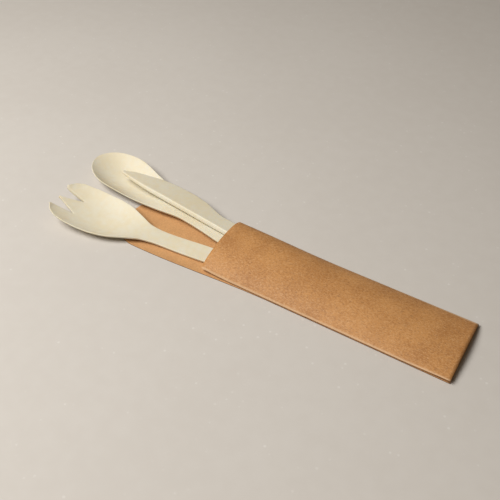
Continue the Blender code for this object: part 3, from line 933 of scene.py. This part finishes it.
def speck_group():
    """Small round specks, few and far between."""
    tree, start, end = group_tree(
        "specks",
        [("Vector", "NodeSocketVector", None), ("Scale", "NodeSocketFloat", 300.0),
         ("Size", "NodeSocketFloat", 0.16), ("Rarity", "NodeSocketFloat", 0.75)],
        [("Speck", "NodeSocketFloat")],
    )
    given = start.outputs
    inputs = [("Vector", given["Vector"]), ("Scale", given["Scale"])]
    cells = node(tree, "ShaderNodeTexVoronoi", inputs)
    core = maths(tree, "MULTIPLY", given["Size"], 0.55)
    dot = ranged(tree, cells.outputs["Distance"], core, given["Size"], 1.0, 0.0, "LINEAR")
    chance = node(tree, "ShaderNodeSeparateColor", [("Color", cells.outputs["Color"])])
    kept = maths(tree, "GREATER_THAN", chance.outputs[0], given["Rarity"])
    tree.links.new(maths(tree, "MULTIPLY", dot, kept), end.inputs["Speck"])
    return tree


def effect(tree, maker, inputs):
    """Place a shared effect, made once, with its own values."""
    name = {cloud_group: "clouding", fibre_group: "fibres", speck_group: "specks"}[maker]
    group = bpy.data.node_groups.get(name) or maker()
    return node(tree, "ShaderNodeGroup", inputs, node_tree=group).outputs[0]


def new_material(name):
    """Empty material, with its tree and its shader."""
    material = bpy.data.materials.new(name)
    material.use_nodes = True
    tree = material.node_tree
    return material, tree, tree.nodes["Principled BSDF"]


def rgba(rgb):
    """Colour with full alpha."""
    return (rgb[0], rgb[1], rgb[2], 1.0)


def object_place(tree, offset=(0.0, 0.0, 0.0)):
    """Object coordinates, moved by an offset so that patterns differ."""
    coord = node(tree, "ShaderNodeTexCoord")
    inputs = [("Vector", coord.outputs["Object"]), ("Location", offset)]
    return node(tree, "ShaderNodeMapping", inputs).outputs[0]


def bump(tree, height, strength, distance):
    """Normal of a surface raised by a height pattern."""
    inputs = [("Strength", strength), ("Distance", distance), ("Height", height)]
    return node(tree, "ShaderNodeBump", inputs).outputs[0]


def crease_wear_and_highlight_mask(tree):
    """Pale line along both long folds, part pressed-fold wear and part painted highlight on the folds'
    upper curve, above the back panel and from the mouth on.
    """
    sleeve = bpy.context.scene.cutlery_sleeve
    half, mouth = sleeve.width / 2, -sleeve.length / 2
    starts, full = half - 0.85 * MM, half - 0.05 * MM
    low, high = sleeve.card + 1.2 * MM, sleeve.card + 1.8 * MM
    outside, inside = mouth - 1.15 * MM, mouth + 0.55 * MM
    split = node(tree, "ShaderNodeSeparateXYZ", [("Vector", object_place(tree))]).outputs
    side = maths(tree, "ABSOLUTE", maths(tree, "ADD", split["Y"], sleeve.near_overhang))
    line = ranged(tree, side, starts, full, way="LINEAR")
    # Only the upper curve of each fold takes the pale line, where the painted highlight lies.
    raised = ranged(tree, split["Z"], low, high, way="LINEAR")
    past_mouth = ranged(tree, split["X"], outside, inside, way="LINEAR")
    return maths(tree, "MULTIPLY", maths(tree, "MULTIPLY", line, raised), past_mouth)


def kraft_face(name, paler):
    """Uncoated kraft card: clouded brown with pale and dark fibres and a felted surface."""
    look = bpy.context.scene.cutlery_finish
    material, tree, shader = new_material(name)
    place = object_place(tree)
    cloud = effect(tree, cloud_group, [("Vector", place), ("Scale", 60.0), ("Finer", 14.0)])
    fibres = [("Vector", place), ("Scale", 2300.0), ("Low", 0.56), ("High", 0.72)]
    pale = effect(tree, fibre_group, fibres)
    dark_place = object_place(tree, (0.31, 0.17, 0.05))
    fibres = [("Vector", dark_place), ("Scale", 1900.0), ("Low", 0.62), ("High", 0.76)]
    dark = effect(tree, fibre_group, fibres)
    specks = [("Vector", place), ("Scale", 420.0), ("Size", 0.14), ("Rarity", 0.8)]
    speck = effect(tree, speck_group, specks)
    base = blended(tree, cloud, rgba(look.kraft_dark), rgba(look.kraft))
    base = tinted(tree, base, pale, 0.55, look.kraft_fibre)
    base = tinted(tree, base, dark, 0.58, look.kraft_speck)
    base = tinted(tree, base, speck, 0.55, look.kraft_speck)
    # Paler inner face: partly its own tone, partly painted sheen.
    if paler:
        base = blended(tree, paler, base, rgba(look.kraft_fibre))
    # Painted highlight and pressed-fold wear along the folds' upper curve.
    base = tinted(tree, base, crease_wear_and_highlight_mask(tree), look.crease, look.kraft_worn_and_highlight)
    felt = maths(tree, "ADD", pale, noise(tree, place, 2600.0, 3.0))
    feed(tree, shader, [
        ("Base Color", base),
        ("Roughness", ranged(tree, pale, 0.0, 1.0, 0.6, 0.5)),
        ("Specular IOR Level", 0.3),
        ("Normal", bump(tree, felt, 0.35, 0.06 * MM)),
    ])
    return material


def kraft_cut():
    """Cut edge of the card: dark layers, some darker than others, kept darker than the card's own cut so
    that it also paints the shade of the thin dark line along the card's edges.
    """
    look = bpy.context.scene.cutlery_finish
    material, tree, shader = new_material("kraft_cut")
    place = object_place(tree)
    cloud = effect(tree, cloud_group, [("Vector", place), ("Scale", 700.0), ("Finer", 4.0)])
    layers = ranged(tree, cloud, 0.3, 0.7, 0.7, 1.0)
    # Dark cut edge: its own darker fibres plus painted shade.
    feed(tree, shader, [
        ("Base Color", blended(tree, layers, rgba(look.kraft_dark), rgba(look.cut_edge_and_shade))),
        ("Roughness", 0.9),
        ("Specular IOR Level", 0.2),
        ("Normal", bump(tree, cloud, 0.5, 0.08 * MM)),
    ])
    return material


def bioplastic(name, seed):
    """Moulded cream bioplastic: faint clouds and plant specks under a satin skin."""
    look = bpy.context.scene.cutlery_finish
    material, tree, shader = new_material(name)
    place = object_place(tree, (seed, 0.3 * seed, 0.0))
    cloud = effect(tree, cloud_group, [("Vector", place), ("Scale", 38.0), ("Finer", 7.0)])
    specks = [("Vector", place), ("Scale", 520.0), ("Size", 0.13), ("Rarity", 0.86)]
    speck = effect(tree, speck_group, specks)
    base = tinted(tree, rgba(look.cream), cloud, 0.5, look.cream_deep)
    base = tinted(tree, base, speck, 0.22, look.cream_speck)
    skin = noise(tree, place, 1400.0, 2.0)
    rough = look.cream_roughness
    feed(tree, shader, [
        ("Base Color", base),
        ("Roughness", ranged(tree, skin, 0.3, 0.7, rough - 0.05, rough + 0.07)),
        ("Specular IOR Level", 0.5),
        ("Normal", bump(tree, skin, 0.12, 0.05 * MM)),
        ("Subsurface Weight", 0.12),
        ("Subsurface Radius", (1.0, 0.75, 0.45)),
        ("Subsurface Scale", 1.5 * MM),
    ])
    return material


# Stage

# The camera looks down by its drop and is turned about Z by its turn.
KEY_PLACE = (-0.48, -0.43, 0.88)
KEY_TARGET = (-0.05, 0.0, 0.0)
CAMERA_PLACE = (0.1035, -0.2631, 0.3049)
CAMERA_DROP = radians(43.5)
CAMERA_TURN = radians(31.75)
LENS_MM = 49.97
SENSOR_MM = 36.0
PICTURE_SHIFT = -0.005


def table_finish():
    """Pale warm grey plaster with faint clouds and patches of small paler marks."""
    look = bpy.context.scene.cutlery_stage
    material, tree, shader = new_material("table_plaster")
    place = object_place(tree)
    cloud = effect(tree, cloud_group, [("Vector", place), ("Scale", 9.0), ("Finer", 12.0)])
    specks = [("Vector", place), ("Scale", 260.0), ("Size", 0.24), ("Rarity", 0.84)]
    marks = effect(tree, speck_group, specks)
    base = tinted(tree, rgba(look.floor), cloud, 0.1, look.floor_vein)
    patch = ranged(tree, cloud, 0.35, 0.7, 0.08, 0.42)
    feed(tree, shader, [
        ("Base Color", tinted(tree, base, marks, patch, look.floor_vein)),
        ("Roughness", 0.75),
        ("Specular IOR Level", 0.2),
    ])
    return material


def lamp(name, place, target, width, power):
    """Square lamp at a place, aimed at a target."""
    data = bpy.data.lights.new(name, "AREA")
    data.shape = "SQUARE"
    data.size = width
    data.energy = power
    obj = bpy.data.objects.new(name, data)
    obj.location = place
    obj.rotation_euler = (Vector(target) - Vector(place)).to_track_quat("-Z", "Y").to_euler()
    bpy.context.scene.collection.objects.link(obj)


class CUTLERY_OT_stage(bpy.types.Operator):
    """Make the table, the lamp, the surrounding light and the camera"""

    bl_idname = "cutlery.stage"
    bl_label = "Stage"

    def execute(self, context):
        look = context.scene.cutlery_stage
        bm = bmesh.new()
        bmesh.ops.create_grid(bm, x_segments=8, y_segments=8, size=3.0)
        table = object_from("table", bm, [table_finish()])

        lamp("key", KEY_PLACE, KEY_TARGET, look.key_width, look.key_power)

        world = bpy.data.worlds.new("studio")
        world.use_nodes = True
        context.scene.world = world
        back = world.node_tree.nodes["Background"]
        back.inputs["Color"].default_value = rgba(look.sky_colour)
        back.inputs["Strength"].default_value = look.sky

        camera = bpy.data.objects.new("camera", bpy.data.cameras.new("camera"))
        camera.data.lens = LENS_MM
        camera.data.sensor_width = SENSOR_MM
        camera.data.shift_y = PICTURE_SHIFT
        camera.data.clip_start = 0.01
        camera.location = CAMERA_PLACE
        camera.rotation_euler = (pi / 2 - CAMERA_DROP, 0.0, CAMERA_TURN)
        context.scene.collection.objects.link(camera)
        context.scene.camera = camera
        context.scene.view_settings.view_transform = "Standard"
        return {"FINISHED"}


# Panel and registration


class CUTLERY_PT_panel(bpy.types.Panel):
    """Lists the pieces of the cutlery set and its stage"""

    bl_idname = "CUTLERY_PT_panel"
    bl_label = "Cutlery Set"
    bl_space_type = "VIEW_3D"
    bl_region_type = "UI"
    bl_category = "Cutlery"

    def draw(self, context):
        for operator in OPERATORS:
            self.layout.operator(operator.bl_idname)
        for name in SETTINGS:
            box = self.layout.box()
            settings = getattr(context.scene, name)
            for key in settings.__annotations__:
                box.prop(settings, key)


OPERATORS = (
    CUTLERY_OT_sleeve,
    CUTLERY_OT_fork,
    CUTLERY_OT_spoon,
    CUTLERY_OT_knife,
    CUTLERY_OT_stage,
)
SETTINGS = {
    "cutlery_sleeve": SleeveSettings,
    "cutlery_implement": ImplementSettings,
    "cutlery_fork": ForkSettings,
    "cutlery_spoon": SpoonSettings,
    "cutlery_knife": KnifeSettings,
    "cutlery_finish": FinishSettings,
    "cutlery_stage": StageSettings,
}


def register():
    for name, group in SETTINGS.items():
        bpy.utils.register_class(group)
        setattr(bpy.types.Scene, name, PointerProperty(type=group))
    for operator in OPERATORS:
        bpy.utils.register_class(operator)
    bpy.utils.register_class(CUTLERY_PT_panel)


def unregister():
    bpy.utils.unregister_class(CUTLERY_PT_panel)
    for operator in reversed(OPERATORS):
        bpy.utils.unregister_class(operator)
    for name, group in SETTINGS.items():
        delattr(bpy.types.Scene, name)
        bpy.utils.unregister_class(group)


def main():
    """Build the set and its stage."""
    register()
    bpy.ops.cutlery.sleeve()
    bpy.ops.cutlery.fork()
    bpy.ops.cutlery.spoon()
    bpy.ops.cutlery.knife()
    bpy.ops.cutlery.stage()


if __name__ == "__main__":
    main()
